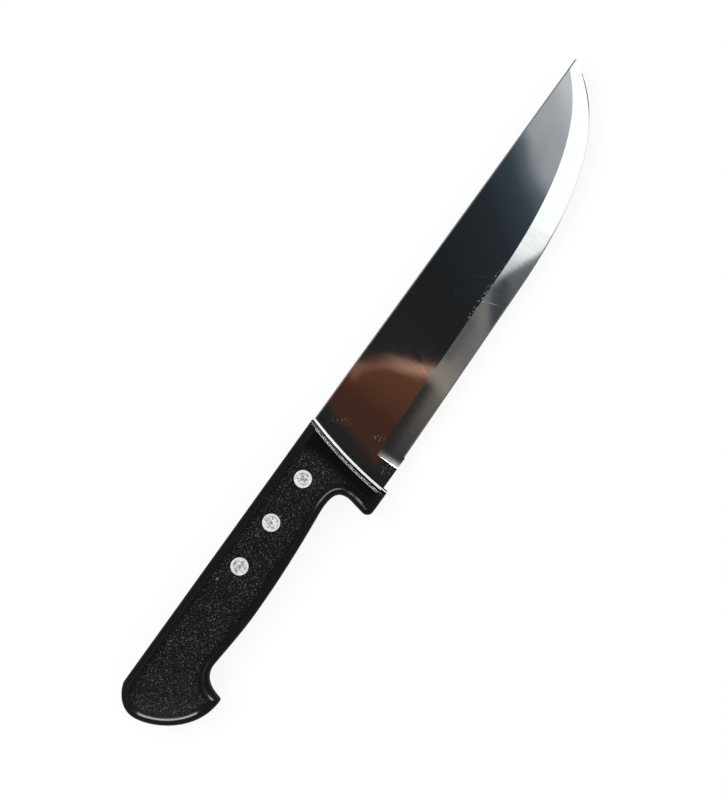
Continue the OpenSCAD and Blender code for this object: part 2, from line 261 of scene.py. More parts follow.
def scale_surface():
    """Outer loop, points, heights and triangles of a scale's upper surface."""
    apart = 0.1
    arc = front_arc(0)
    arc = arc[is_inside(arc, OUTLINE) & (depth_in(arc, OUTLINE) > apart)]
    kept = OUTLINE[np.hypot(*(OUTLINE - FRONT_C).T) >= FRONT_R + apart]
    kept = np.roll(kept, -int(np.argmax(np.hypot(*(kept - np.roll(kept, 1, axis=0)).T))), axis=0)
    if np.hypot(*(arc[0] - kept[-1])) > np.hypot(*(arc[-1] - kept[-1])):
        arc = arc[::-1]
    loop = np.vstack([kept, arc])
    rows = []
    for inset in BORDER_ROWS:
        q = OUTLINE + normals(OUTLINE) * inset
        rows.append(q[depth_in(q, OUTLINE) > inset * 0.985])
    gx, gy = np.meshgrid(np.arange(-HANDLE_LEN, 0, GRID), np.arange(-GUARD_DEPTH, 1, GRID))
    grid = np.stack([gx.ravel(), gy.ravel()], 1)
    behind = np.hypot(*(grid - FRONT_C).T) - FRONT_R
    rows.append(grid[(depth_in(grid, OUTLINE) > GRID_INSET) & (behind > GRID_INSET)])
    rest = np.vstack(rows)
    # Of points that fall in the same small square, only the first stays
    square = 0.08
    rest = rest[np.sort(np.unique(np.round(rest / square).astype(int), axis=0, return_index=True)[1])]
    # The cove's own rows are close together where it is steep, and no other point comes between them
    cove = COVE_W * np.sin(np.radians((6, 12, 18, 25, 33, 41, 50, 60, 70, 78, 84, 88)))
    lip = COVE_W + COVE_EDGE_R * (1 - np.cos(np.radians((0, 15, 30, 45, 60, 75, 90))))
    front = [*cove, *lip, 3.8, 4.6]
    behind = np.hypot(*(rest - FRONT_C).T) - FRONT_R
    rest = rest[np.abs(behind[:, None] - np.array([0, *front])).min(1) > apart]
    extra = np.vstack([rest] + [front_arc(s) for s in front])
    extra = extra[is_inside(extra, loop)]
    extra = extra[depth_in(extra, loop) > square / 2]
    n = len(loop)
    pts = [tuple(q) for q in np.vstack([loop, extra])]
    out, _, tris, *_ = delaunay_2d_cdt(pts, [(i, (i + 1) % n) for i in range(n)], [], 1, 1e-5)
    out = np.array([tuple(v) for v in out])
    return loop, out, scale_height(out), [tuple(t) for t in tris]


def normals(path):
    """Inward normals of a counter-clockwise closed path."""
    d = np.roll(path, -1, axis=0) - np.roll(path, 1, axis=0)
    return np.stack([-d[:, 1], d[:, 0]], 1) / np.hypot(*d.T)[:, None]


def tang_outline(g):
    """Outline of the tang and the blade's shoulders, grown by g, from the front of the top shoulder."""
    taper, steps = TANG_DEPTH * 0.1, 12
    top, end, r = -RIVET_DEPTH + TANG_DEPTH / 2, -TANG_LEN, TANG_END_R
    low = top - TANG_DEPTH
    path = [[-SHOULDER_LEN - g, g], [-SHOULDER_LEN - g, top + g]]
    for y, start in ((top - taper - r, 90), (low + taper + r, 180)):
        for k in range(steps + 1):
            a = math.radians(start + 90 * k / steps)
            path.append([end + r + (r + g) * math.cos(a), y + (r + g) * math.sin(a)])
    path += [[-FRONT_SLANT - SHOULDER_LEN - g, low - g], [-FRONT_SLANT - SHOULDER_LEN - g, -BLADE_DEPTH - g]]
    return np.array(path)


def rivet_spots():
    return [(-RIVET_X - RIVET_PITCH * i, -RIVET_DEPTH) for i in range(3)]


def prism(name, path, low, high):
    n = len(path)
    verts = [(x, y, low) for x, y in path] + [(x, y, high) for x, y in path]
    faces = [tuple(range(n)), tuple(range(2 * n - 1, n - 1, -1))]
    faces += [(i, i + n, (i + 1) % n + n, (i + 1) % n) for i in range(n)]
    return new_object(name, verts, faces, [])


def bore_cutter(side, top):
    """The bores for the three rivets, with the seats for their heads, on one side of the blade."""
    z = HALF_T - HEAD_T
    bore, seat = TUBE_D / 2 + GAP, HEAD_D / 2 + GAP
    profile = [(0, -1), (bore, -1), (bore, z), (seat, z), (seat, top), (0, top)]
    cutters = [lathe("bore", profile, x, y, [], flip=side < 0) for x, y in rivet_spots()]
    return join(cutters)


def join(objects):
    bm = bmesh.new()
    for o in objects:
        bm.from_mesh(o.data)
    bm.to_mesh(objects[0].data)
    bm.free()
    for o in objects[1:]:
        bpy.data.objects.remove(o)
    return objects[0]


def scale_mesh(name, material, surface, side):
    """One scale of the handle, on the side z > 0 or z < 0, with its pocket for the tang and its bores."""
    loop, out, z, tris = surface
    n = len(loop)
    inward = normals(loop)
    verts = [(p[0], p[1], h) for p, h in zip(out, z)]
    faces = list(tris)
    previous = list(range(n))
    # Side wall, with a fine groove at the joint between the two scales
    for height, inset in PARTING_GROOVE:
        first = len(verts)
        verts += [(q[0], q[1], height) for q in loop + inward * inset]
        faces += [(previous[(i + 1) % n], previous[i], first + i, first + (i + 1) % n) for i in range(n)]
        previous = list(range(first, first + n))
    faces.append(tuple(reversed(previous)))
    if side < 0:
        verts = [(x, y, -h) for x, y, h in verts]
        faces = [tuple(reversed(f)) for f in faces]
    obj = new_object(name, verts, faces, [material])
    beyond, room = 6, GAP * 2
    path = np.vstack([[[beyond, room]], tang_outline(room), [[beyond, -BLADE_DEPTH - room]]])
    low, high = (-1, HALF_BLADE) if side > 0 else (-HALF_BLADE, 1)
    cut(obj, [prism("pocket", path, low, high), bore_cutter(side, HALF_T + 1)])
    shade(obj)
    mark_grain(obj)
    return obj


def mark_grain(obj):
    """Marks where the scale's flat is grained: inside its smooth border, and not at the front."""
    border, border_fade = 3.3, 1.6
    front_x, front_y, front_lean, front_fade = -11.5, -20, 0.12, 3.5
    mesh = obj.data
    co = np.empty(len(mesh.vertices) * 3)
    mesh.vertices.foreach_get("co", co)
    x, y, z = (co.reshape(-1, 3) / MM - DATUM).T
    inside = np.clip((depth_in(np.stack([x, y], 1), OUTLINE) - border) / border_fade, 0, 1)
    front = np.clip((front_x - x + front_lean * (y - front_y)) / front_fade, 0, 1)
    flat = np.clip((np.abs(z) - HALF_T + 0.1) / 0.05, 0, 1)
    mesh.attributes.new("grain", "FLOAT", "POINT").data.foreach_set("value", inside * front * flat)


# Materials

class Nodes:
    """Short-hand for a node tree. An input is a number, a colour, a vector or another node's output."""

    def __init__(self, tree):
        self.tree = tree

    def add(self, kind, inputs=(), **settings):
        node = self.tree.nodes.new(kind)
        for key, value in settings.items():
            setattr(node, key, value)
        for key, value in dict(inputs).items():
            self.set(node.inputs[key], value)
        return node

    def set(self, socket, value):
        if isinstance(value, bpy.types.NodeSocket):
            self.tree.links.new(value, socket)
        elif hasattr(socket.default_value, "__len__") and len(socket.default_value) == 4 and len(value) == 3:
            socket.default_value = (*value, 1)
        else:
            socket.default_value = value

    def math(self, op, *values, clamp=False):
        node = self.add("ShaderNodeMath", operation=op, use_clamp=clamp)
        for socket, value in zip(node.inputs, values):
            self.set(socket, value)
        return node.outputs[0]

    def total(self, *values):
        out = values[0]
        for v in values[1:]:
            out = self.math("ADD", out, v)
        return out

    def times(self, *values):
        out = values[0]
        for v in values[1:]:
            out = self.math("MULTIPLY", out, v)
        return out

    def plane(self, x, y, kx, ky, k0=0.0):
        """kx x + ky y + k0"""
        return self.math("MULTIPLY_ADD", x, kx, self.math("MULTIPLY_ADD", y, ky, k0))

    def step(self, value, low, high, out_low=0.0, out_high=1.0):
        """Smooth step from out_low, at low, to out_high, at high."""
        if low > high:
            low, high, out_low, out_high = high, low, out_high, out_low
        ends = {"From Min": low, "From Max": high, "To Min": out_low, "To Max": out_high}
        node = self.add("ShaderNodeMapRange", {"Value": value, **ends}, interpolation_type="SMOOTHSTEP")
        return node.outputs[0]

    def mix(self, fac, a, b):
        """Colour between a and b."""
        node = self.add("ShaderNodeMix", data_type="RGBA")
        for key, value in ((0, fac), (6, a), (7, b)):
            self.set(node.inputs[key], value)
        return node.outputs[2]

    def blend(self, fac, a, b):
        """Number between a and b."""
        node = self.add("ShaderNodeMix", data_type="FLOAT")
        for key, value in ((0, fac), (2, a), (3, b)):
            self.set(node.inputs[key], value)
        return node.outputs[0]

    def ramp(self, value, low, high, stops):
        """Colours at places between low and high."""
        t = self.add("ShaderNodeMapRange", {"Value": value, "From Min": low, "From Max": high}).outputs[0]
        node = self.add("ShaderNodeValToRGB", {"Fac": t})
        bar = node.color_ramp.elements
        spots = [((place - low) / (high - low), (*color, 1)) for place, color in stops]
        for end, (at, color) in zip(bar, (spots[0], spots[-1])):
            end.position, end.color = at, color
        for at, color in spots[1:-1]:
            bar.new(at).color = color
        return node.outputs[0]

    def noise(self, vector, scale, detail=2.0, roughness=0.5, distortion=0.0):
        node = self.add("ShaderNodeTexNoise", {"Vector": vector, "Scale": scale, "Detail": detail,
                                               "Roughness": roughness, "Distortion": distortion})
        return node.outputs[0]

    def cells(self, vector, scale):
        return self.add("ShaderNodeTexVoronoi", {"Vector": vector, "Scale": scale}).outputs[0]

    def vector(self, op, a, b):
        return self.add("ShaderNodeVectorMath", {0: a, 1: b}, operation=op).outputs[0]

    def stretch(self, vector, scale, turn=0.0):
        """The place scaled by a different amount along each axis, after a turn about the upright."""
        node = self.add("ShaderNodeVectorRotate", {"Vector": vector, "Angle": turn}, rotation_type="Z_AXIS")
        return self.vector("MULTIPLY", node.outputs[0], scale)

    def distance(self, dx, dy):
        return self.math("SQRT", self.math("ADD", self.math("POWER", dx, 2.0), self.math("POWER", dy, 2.0)))

    def spot(self, x, y, cx, cy, rx, ry=None, turn=0.0, soft=0.6):
        """1 inside the ellipse round cx, cy, fading to 0 at its edge."""
        ry = ry or rx
        c, w = math.cos(turn), math.sin(turn)
        u = self.plane(x, y, c / rx, w / rx, -(c * cx + w * cy) / rx)
        v = self.plane(x, y, -w / ry, c / ry, (w * cx - c * cy) / ry)
        return self.step(self.distance(u, v), 1.0, 1.0 - soft)

    def bump(self, height, distance, strength=1.0, normal=None):
        node = self.add("ShaderNodeBump", {"Height": height, "Distance": distance * MM, "Strength": strength})
        if normal is not None:
            self.set(node.inputs["Normal"], normal)
        return node.outputs[0]


def linear(r, g, b):
    """Linear colour from a screen colour of 0 to 255."""
    return tuple(((c / 255 + 0.055) / 1.055) ** 2.4 if c > 10 else c / 255 / 12.92 for c in (r, g, b))


def surface_material(name):
    """New material with the place on the part in millimetres, in the datum of the solids."""
    m = bpy.data.materials.new(name)
    m.use_nodes = True
    n = Nodes(m.node_tree)
    shader = m.node_tree.nodes["Principled BSDF"]
    place = n.add("ShaderNodeTexCoord").outputs["Object"]
    mm = n.vector("SUBTRACT", n.vector("MULTIPLY", place, (1000, 1000, 1000)), tuple(DATUM))
    xyz = n.add("ShaderNodeSeparateXYZ", {0: mm}).outputs
    return m, n, shader, mm, xyz


def plastic_material():
    """Black moulded plastic: grained where the mesh says so, with painted glints on the grain, and smooth
    along the border.
    """
    m, n, shader, mm, (x, y, _) = surface_material("moulded_plastic")
    grain = n.add("ShaderNodeAttribute", attribute_name="grain").outputs["Fac"]
    pebble = n.noise(mm, 1.5, 3.0, 0.62, 0.4)
    fibre = n.noise(n.stretch(mm, (1.0, 2.6, 1.0), 0.3), 1.0, 3.0, 0.6, 0.5)
    fine = n.noise(mm, 5.5, 2.0, 0.5)
    height = n.total(n.times(pebble, 0.6), n.times(fibre, 0.35), n.times(fine, 0.1))
    # The pale specks and streaks on the grain are painted glints, where its facets would catch the light; the
    # grain's bump is real
    grain_glints = n.step(pebble, 0.55, 0.84)
    streaks = n.step(fibre, 0.56, 0.82)
    # Patches where the painted glints are weaker
    worn = n.step(n.noise(mm, 0.10, 3.0, 0.6), 0.25, 0.7, 0.6, 1.0)
    glints_and_spot = n.times(n.math("MAXIMUM", grain_glints, n.times(streaks, 0.8)), grain, worn)
    # A small paler spot in the middle of the grip, in the colour of the painted glints
    glints_and_spot = n.math("MAXIMUM", glints_and_spot, n.times(n.spot(x, y, -73.7, -6.0, 0.9, 0.6), 0.6))
    tone = n.noise(mm, 0.07, 2.0)
    base = n.mix(tone, linear(9, 9, 11), linear(13, 13, 14))
    hue = n.step(n.noise(mm, 0.16, 2.0), 0.4, 0.6)
    glint_color = n.mix(hue, linear(129, 123, 137), linear(141, 142, 148))
    n.set(shader.inputs["Base Color"], n.mix(glints_and_spot, base, glint_color))
    smudge = n.step(n.noise(mm, 0.16, 4.0, 0.65, 0.8), 0.35, 0.7)
    # The cove at the front is polished
    from_front = n.distance(n.math("SUBTRACT", x, FRONT_C[0]), n.math("SUBTRACT", y, FRONT_C[1]))
    in_cove = n.step(from_front, FRONT_R + 4.4, FRONT_R + 3.6)
    gloss = n.blend(in_cove, n.blend(smudge, 0.15, 0.21), 0.06)
    n.set(shader.inputs["Roughness"], n.blend(grain, gloss, n.blend(fine, 0.34, 0.46)))
    shader.inputs["IOR"].default_value = 1.4
    pits = n.step(n.cells(mm, 0.42), 0.045, 0.09)
    skin = n.bump(pits, 0.04, 0.6)
    n.set(shader.inputs["Normal"], n.bump(n.times(height, grain), 0.2, 0.9, skin))
    return m


WORN_STEEL = (0.8, 0.8, 0.8)


def steel_material():
    """The polished sides, spine and heel of the blade."""
    m, n, shader, mm, (x, y, z) = surface_material("polished_steel")
    smear = n.step(n.noise(mm, 0.045, 4.0, 0.62, 1.2), 0.42, 0.72)
    hair = n.noise(n.stretch(mm, (0.03, 5.0, 1.0), 0.06), 1.0, 3.0, 0.6)
    cross = n.noise(n.stretch(mm, (4.0, 0.06, 1.0), -0.5), 1.0, 3.0, 0.6)
    hairs = n.math("MAXIMUM", n.step(hair, 0.70, 0.78), n.step(cross, 0.73, 0.8))
    dots = n.step(n.cells(mm, 0.55), 0.07, 0.03)
    rub = n.noise(n.stretch(mm, (2.4, 1.1, 1.0), 0.3), 1.0, 4.0, 0.7)
    # Rubbed places: beside the handle, above the heel, at the foot of the heel, and nicks along the bevel
    beside = n.times(n.spot(x, y, 4.6, -8.5, 2.8, 7.5, 0.35, soft=0.9), 0.3)
    above = n.times(n.spot(x, y, 8.0, -25.0, 1.9, 4.2, 0.5, soft=0.9), 0.6)
    below = n.times(n.spot(x, y, -1.0, -34.6, 3.2, 3.2, soft=0.9), 0.55)
    worn = n.times(n.step(rub, 0.57, 0.63), n.math("MAXIMUM", n.math("MAXIMUM", beside, above), below))
    nick = n.noise(mm, 1.5, 3.0, 0.6)
    over_bevel = n.math("ABSOLUTE", n.plane(x, y, -EDGE_LEAN, 1.0, 27.5))
    edge_zone = n.times(n.step(over_bevel, 1.0, 0.3), n.step(x, 60, 72), n.step(x, 98, 88))
    worn = n.math("MAXIMUM", worn, n.times(n.step(nick, 0.62, 0.66), edge_zone))
    worn = n.math("MAXIMUM", worn, n.times(n.math("MAXIMUM", hairs, dots), 0.16))
    flat = n.step(n.math("ABSOLUTE", z), HALF_BLADE - 0.2, HALF_BLADE - 0.04)
    worn = n.math("MULTIPLY", worn, flat, clamp=True)
    color = n.mix(smear, (0.63, 0.64, 0.65), (0.59, 0.60, 0.615))
    n.set(shader.inputs["Base Color"], n.mix(worn, color, WORN_STEEL))
    n.set(shader.inputs["Metallic"], n.blend(worn, 1.0, 0.35))
    n.set(shader.inputs["Roughness"], n.blend(worn, n.blend(smear, 0.035, 0.07), 0.5))
    wave = n.bump(n.noise(mm, 0.035, 1.0), 0.03)
    n.set(shader.inputs["Normal"], n.bump(hair, 0.0003, normal=wave))
    return m


def ground_material():
    """The ground bevel, with its lines across the blade."""
    m, n, shader, mm, (x, y, _) = surface_material("ground_steel")
    line = n.noise(n.stretch(mm, (3.2, 0.10, 1.0)), 1.0, 4.0, 0.65)
    coarse = n.noise(n.stretch(mm, (0.8, 0.05, 1.0), 0.04), 1.0, 3.0, 0.6)
    blotch = n.noise(mm, 0.22, 3.0, 0.6)
    # One scratch across the bevel
    scratch = n.step(n.math("ABSOLUTE", n.plane(x, y, 0.93, 0.363, -60.4)), 0.22, 0.05)
    scratch = n.times(scratch, n.step(x, 62, 64), n.step(x, 78.5, 75), n.step(coarse, 0.35, 0.5, 0.2, 0.6))
    plunge = n.step(x, 7.0, RICASSO_LEN + 0.6)
    shine = n.total(n.times(line, 0.4), n.times(coarse, 0.6))
    color = n.mix(n.step(shine, 0.38, 0.62), (0.59, 0.595, 0.605), (0.65, 0.66, 0.67))
    n.set(shader.inputs["Base Color"], n.mix(scratch, color, WORN_STEEL))
    n.set(shader.inputs["Metallic"], n.blend(scratch, 1.0, 0.5))
    rough = n.total(n.blend(blotch, 0.03, 0.06), n.times(scratch, 0.3), n.times(plunge, 0.2))
    n.set(shader.inputs["Roughness"], rough)
    height = n.total(n.times(line, 0.25), n.times(coarse, n.blend(plunge, 0.5, 6.0)))
    n.set(shader.inputs["Normal"], n.bump(height, 0.0014))
    return m


def honed_material():
    """The honed strip along the cutting edge."""
    m, n, shader, mm, _ = surface_material("honed_steel")
    line = n.noise(n.stretch(mm, (6.0, 0.5, 1.0)), 1.0, 3.0, 0.65)
    n.set(shader.inputs["Base Color"], n.mix(line, (0.6, 0.61, 0.62), (0.74, 0.745, 0.75)))
    shader.inputs["Metallic"].default_value = 1.0
    n.set(shader.inputs["Roughness"], n.blend(line, 0.08, 0.2))
    n.set(shader.inputs["Normal"], n.bump(line, 0.003))
    return m


def rivet_material(cx):
    """Bright rivet whose face is mottled round its middle at cx, with painted shade over the dimple there."""
    m, n, shader, mm, (x, y, _) = surface_material("rivet_aluminium")
    r = n.distance(n.math("SUBTRACT", x, cx), n.math("ADD", y, RIVET_DEPTH))
    mottle = n.noise(mm, 1.3, 4.0, 0.7, 0.6)
    fleck = n.noise(mm, 4.0, 3.0, 0.6)
    turned = n.add("ShaderNodeCombineXYZ", {0: n.times(r, 5.0), 1: cx * 0.37}).outputs[0]
    ring = n.noise(turned, 1.0, 3.0, 0.7)
    inner = n.step(r, 3.5, 1.9)
    blotch = n.step(n.total(n.times(mottle, 0.7), n.times(fleck, 0.3)), 0.46, 0.54)
    dark = n.times(blotch, n.blend(inner, 0.25, 1.0))
    # Painted shade: the face is dark over the dimple at its middle
    dark = n.math("MAXIMUM", dark, n.times(n.step(r, 0.8, 0.3), 0.9))
    color = n.mix(n.step(ring, 0.4, 0.65), (0.86, 0.865, 0.87), (0.95, 0.955, 0.955))
    n.set(shader.inputs["Base Color"], n.mix(n.times(dark, 0.9), color, (0.13, 0.132, 0.135)))
    shader.inputs["Metallic"].default_value = 0.2
    n.set(shader.inputs["Roughness"], n.blend(fleck, 0.34, 0.5))
    height = n.total(n.times(mottle, -0.7), n.times(ring, 0.25), n.times(fleck, 0.2))
    n.set(shader.inputs["Normal"], n.bump(height, 0.03, 0.8))
    return m


PLASTIC, STEEL, GROUND, HONED = plastic_material(), steel_material(), ground_material(), honed_material()


# Blade

def edge_y(x):
    return -BLADE_DEPTH if x < HEEL_LEN else float(np.interp(x, EDGE[:, 0], EDGE[:, 1]))


def bevel_w(x):
    return BEVEL_HEEL_W - (BEVEL_HEEL_W - BEVEL_TIP_W) * (max(x, 0) / BLADE_LEN) ** BEVEL_FADE


# The honed strip's width on the bevel, and half the thickness that it leaves at the edge
HONE_W, HONE_T = 0.55, 0.06
FLAT_ROWS, BEVEL_ROWS, BORE_STEPS = 10, 8, 48
# The spine's rounded corners reach down the back by this many times their depth
SPINE_FALL = 1.8
SPINE_STEPS = (0, 15, 30, 45, 60, 75, 90)
FIRST_ROW = len(SPINE_STEPS)
# Places of the materials on the blade
FLAT_PART, GROUND_PART, HONED_PART = 0, 1, 2


def blade_section(x, ground, honed):
    """Right half of the blade's section at x, from the spine to the edge, as (y, z) points."""
    y_e, w = edge_y(x), bevel_w(x)
    c = min(SPINE_ROUND, -y_e / 3)
    y_b = min(y_e + w, -c)
    t_edge = HALF_BLADE - ground * (HALF_BLADE - EDGE_T / 2)

    def z(y):
        return min(HALF_BLADE, t_edge + (HALF_BLADE - t_edge) * (y - y_e) / w)

    rows = [(0.0, 0.0)]
    for b in SPINE_STEPS:
        b = math.radians(b)
        y = -c * (1 - math.cos(b))
        rows.append((y, z(y) - SPINE_FALL * c * (1 - math.sin(b))))
    rows += [(y, z(y)) for y in np.linspace(-c, y_b, FLAT_ROWS + 1)[1:]]
    hone = min(HONE_W, (y_b - y_e) * 0.3)
    y_m = y_e + hone
    rows += [(y, z(y)) for y in np.linspace(y_b, y_m, BEVEL_ROWS + 1)[1:]]
    rows.append((y_e, z(y_e) - honed * (EDGE_T / 2 - HONE_T)))
    rows.append((y_e, 0.0))
    return rows


def blade_mesh():
    """The blade with its tang. A station is a place along it with the shares of its bevel and honed strip."""
    heel = [(x, 0, 0) for x in (-SHOULDER_LEN, -2, 0, 1.2, RICASSO_LEN - 0.02)]
    plunge = [(RICASSO_LEN + PLUNGE_LEN * (1 - math.cos(math.radians(a))), math.sin(math.radians(a)), 0)
              for a in range(0, 91, 6)]
    after = [(x, 1, 0) for x in (5.8, 6.6, HEEL_LEN - 0.01)]
    edge = [HEEL_LEN + 0.01, 7.8, 8.4, *np.arange(9.5, 86, 2.0), *np.arange(86.5, 140, 1.2),
            *np.arange(140, 165, 0.7), *np.arange(165, 173.3, 0.35), 173.6, 173.85, 174.05, BLADE_LEN - 0.02]
    stations = heel + plunge + after + [(x, 1, 1) for x in edge]
    sections = [blade_section(x, g, h) for x, g, h in stations]
    tang_top = -RIVET_DEPTH + TANG_DEPTH / 2
    sections[0][FIRST_ROW + 1] = (tang_top, HALF_BLADE)
    n = len(sections[0])
    width = 2 * n - 2
    b_row, m_row = FIRST_ROW + FLAT_ROWS, FIRST_ROW + FLAT_ROWS + BEVEL_ROWS
    verts, faces, mats, sharp = [], [], [], []
    for (x, _, _), sec in zip(stations, sections):
        verts += [(x, y, z) for y, z in sec]
        verts += [(x, y, -z) for y, z in sec[-2:0:-1]]
    for k in range(len(stations) - 1):
        a, b = k * width, (k + 1) * width
        for i in range(width):
            j = (i + 1) % width
            faces.append((a + i, a + j, b + j, b + i))
            row = i if i < n - 1 else 2 * n - 3 - i
            if row < b_row or stations[k + 1][1] == 0:
                mats.append(FLAT_PART)
            elif row < m_row or stations[k + 1][2] == 0:
                mats.append(GROUND_PART)
            else:
                mats.append(HONED_PART)
        for i in (FIRST_ROW, b_row, m_row, m_row + 1):
            sharp += [(a + i, b + i), (a + width - i, b + width - i)]
    first_cut, first_edge = len(heel), len(heel) + len(plunge) + len(after)
    for k in (first_cut, first_edge - 1, first_edge):
        sharp += [(k * width + i, k * width + (i + 1) % width) for i in range(width)]
    last = (len(stations) - 1) * width
    faces.append(tuple(last + i for i in range(width)))
    mats.append(HONED_PART)

    # The tang: both faces take up the first section's points
    upper = list(range(FIRST_ROW + 1, n - 1))
    lower = [width - i for i in upper]
    outline = tang_outline(0)[2:]
    first = len(verts)
    m = len(outline)
    verts += [(x, y, HALF_BLADE) for x, y in outline] + [(x, y, -HALF_BLADE) for x, y in outline]
    ring = upper[::-1] + list(range(first, first + m))
    under = lower[::-1] + list(range(first + m, first + 2 * m))
    holes = []
    bore, steps = TUBE_D / 2 + GAP, BORE_STEPS
    for x, y in rivet_spots():
        start = len(verts)
        for z in (HALF_BLADE, -HALF_BLADE):
            verts += [(x + bore * math.cos(t), y + bore * math.sin(t), z)
                      for t in np.linspace(0, 2 * math.pi, steps + 1)[:-1]]
        holes.append((start, start + steps))
        for i in range(steps):
            j = (i + 1) % steps
            faces.append((start + i, start + steps + i, start + steps + j, start + j))
    for loop_ids, pick in ((ring, 0), (under, 1)):
        ids = list(loop_ids)
        edges = [(i, (i + 1) % len(ids)) for i in range(len(ids))]
        for h in holes:
            base = len(ids)
            ids += list(range(h[pick], h[pick] + steps))
            edges += [(base + i, base + (i + 1) % steps) for i in range(steps)]
        flat = [(verts[i][0], verts[i][1]) for i in ids]
        _, _, tris, *_ = delaunay_2d_cdt(flat, edges, [], 1, 1e-6)
        for t in tris:
            c = np.mean([flat[i] for i in t], axis=0)
            if min(math.hypot(c[0] - x, c[1] - y) for x, y in rivet_spots()) > bore:
                f = tuple(ids[i] for i in t)
                faces.append(f if pick == 0 else tuple(reversed(f)))
    rim = ring[len(upper) - 1:] + [upper[-1]]
    low_rim = under[len(upper) - 1:] + [lower[-1]]
    for i in range(len(rim) - 1):
        faces.append((rim[i], low_rim[i], low_rim[i + 1], rim[i + 1]))
    faces.append((*range(FIRST_ROW + 1, -1, -1), *range(width - 1, width - FIRST_ROW - 2, -1)))
    mats += [FLAT_PART] * (len(faces) - len(mats))
    obj = new_object("blade_steel", verts, faces, [STEEL, GROUND, HONED], mats, sharp)
    bm = bmesh.new()
    bm.from_mesh(obj.data)
    bmesh.ops.recalc_face_normals(bm, faces=bm.faces)
    bm.to_mesh(obj.data)
    bm.free()
    return obj


# Rivets

RIVET_R, TUBE_R, PIN_R, RIM_R = HEAD_D / 2, TUBE_D / 2, PIN_D / 2, 0.32
HEAD_Z = HALF_T - HEAD_T
GRIP = HANDLE_T - 2 * HEAD_T
# How far the tube and the pin reach through the grip, and how deep the tube is bored
TUBE_SHARE, PIN_SHARE, BORE_SHARE = 0.74, 0.76, 0.92
# Chamfers of the head's underside, the tube and the pin
HEAD_CUT, TUBE_CUT, PIN_CUT = 0.05, 0.1, 0.2


def rivet_head():
    """Profile of a rivet's head from the dimple in its face to the edge of its underside."""
    face = [(0.0, -0.16), (0.12, -0.15), (0.26, -0.1), (0.42, -0.055),
            (0.7, -0.045), (1.6, -0.03), (2.6, -0.012), (3.15, 0)]
    rim = [(RIVET_R - RIM_R + RIM_R * math.sin(t), -RIM_R + RIM_R * math.cos(t))
           for t in np.radians([0, 15, 30, 45, 60, 75, 90])]
    top = [(r, HALF_T + h) for r, h in face + rim]
    return top + [(RIVET_R, HEAD_Z + HEAD_CUT), (RIVET_R - HEAD_CUT, HEAD_Z)]


def rivet_tube(name, x, y, material):
    low = HEAD_Z - GRIP * TUBE_SHARE
    bore = low + GRIP * TUBE_SHARE * BORE_SHARE
    outside = [(TUBE_R, HEAD_Z), (TUBE_R, low + 2 * TUBE_CUT), (TUBE_R - TUBE_CUT, low)]
    inside = [(PIN_R + TUBE_CUT, low), (PIN_R, low + TUBE_CUT), (PIN_R, bore), (0, bore)]
    return lathe(name, rivet_head() + outside + inside, x, y, [material])


def rivet_pin(name, x, y, material):
    end = HEAD_Z - GRIP * PIN_SHARE
    shank = [(PIN_R, HEAD_Z), (PIN_R, end + PIN_CUT), (PIN_R - PIN_CUT, end), (0, end)]
    return lathe(name, rivet_head() + shank, x, y, [material], flip=True)


# Pieces

surface = scale_surface()
pieces = [
    (scale_mesh("handle_right", PLASTIC, surface, 1), "right_scale", "handle_plastic"),
    (scale_mesh("handle_left", PLASTIC, surface, -1), "left_scale", "handle_plastic"),
    (blade_mesh(), "blade", "blade_steel"),
]
for place, (x, y) in zip(("front", "middle", "rear"), rivet_spots()):
    tube, pin = f"rivet_{place}_tube", f"rivet_{place}_pin"
    metal = rivet_material(x)
    pieces.append((rivet_tube(tube + "_turned", x, y, metal), tube, "rivet_metal"))
    pieces.append((rivet_pin(pin + "_turned", x, y, metal), pin, "rivet_metal"))
for obj, node, slot in pieces:
    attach(obj, "root")
    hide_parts(node)

# Camera

# Its height over the blade in metres, and the millimetres of the datum's plane that fill the picture's height
CAMERA_D, FRAME_H = 1.5, 314.4
# The point in the middle of the picture, and how far the knife is turned in it
CENTRE = np.array([16.5, -11.4])
TILT = math.radians(54.05)

cam_data = bpy.data.cameras.new("camera")
cam = bpy.data.objects.new("camera", cam_data)
bpy.context.scene.collection.objects.link(cam)
cam_data.sensor_fit = "VERTICAL"
cam_data.sensor_height = 36
cam_data.lens = 36 * CAMERA_D / (FRAME_H * MM)
c, w = math.cos(TILT), math.sin(TILT)
look = (CENTRE + DATUM[:2]) * MM
cam.matrix_world = Matrix((
    (c, w, 0, look[0]),
    (-w, c, 0, look[1]),
    (0, 0, 1, DATUM[2] * MM + CAMERA_D),
    (0, 0, 0, 1)))
bpy.context.scene.camera = cam


# Floor, mirrored room and lamps

def stage_mesh(name, verts, faces, material, glossy_only=True):
    """Part of the backdrop. What is glossy only shows in shiny surfaces and nowhere else."""
    mesh = bpy.data.meshes.new(name)
    mesh.from_pydata(verts, [], faces)
    mesh.materials.append(material)
    obj = bpy.data.objects.new(name, mesh)
    bpy.context.scene.collection.objects.link(obj)
    if glossy_only:
        obj.visible_camera = obj.visible_diffuse = obj.visible_shadow = False
        obj.visible_transmission = obj.visible_volume_scatter = False
    return obj


def glow_material(name):
    """New material that only glows, with its nodes and the glowing one."""
    m = bpy.data.materials.new(name)
    m.use_nodes = True
    m.node_tree.nodes.clear()
    n = Nodes(m.node_tree)
    glow = n.add("ShaderNodeEmission")
    m.node_tree.links.new(glow.outputs[0], n.add("ShaderNodeOutputMaterial").inputs[0])
    return m, n, glow


def white_rays(n):
    """1 for the rays that see the background, from the camera or by way of metal or glass."""
    ray = n.add("ShaderNodeLightPath").outputs
    seen = n.math("MAXIMUM", ray["Is Camera Ray"], ray["Is Glossy Ray"])
    return n.math("MAXIMUM", seen, ray["Is Transmission Ray"])


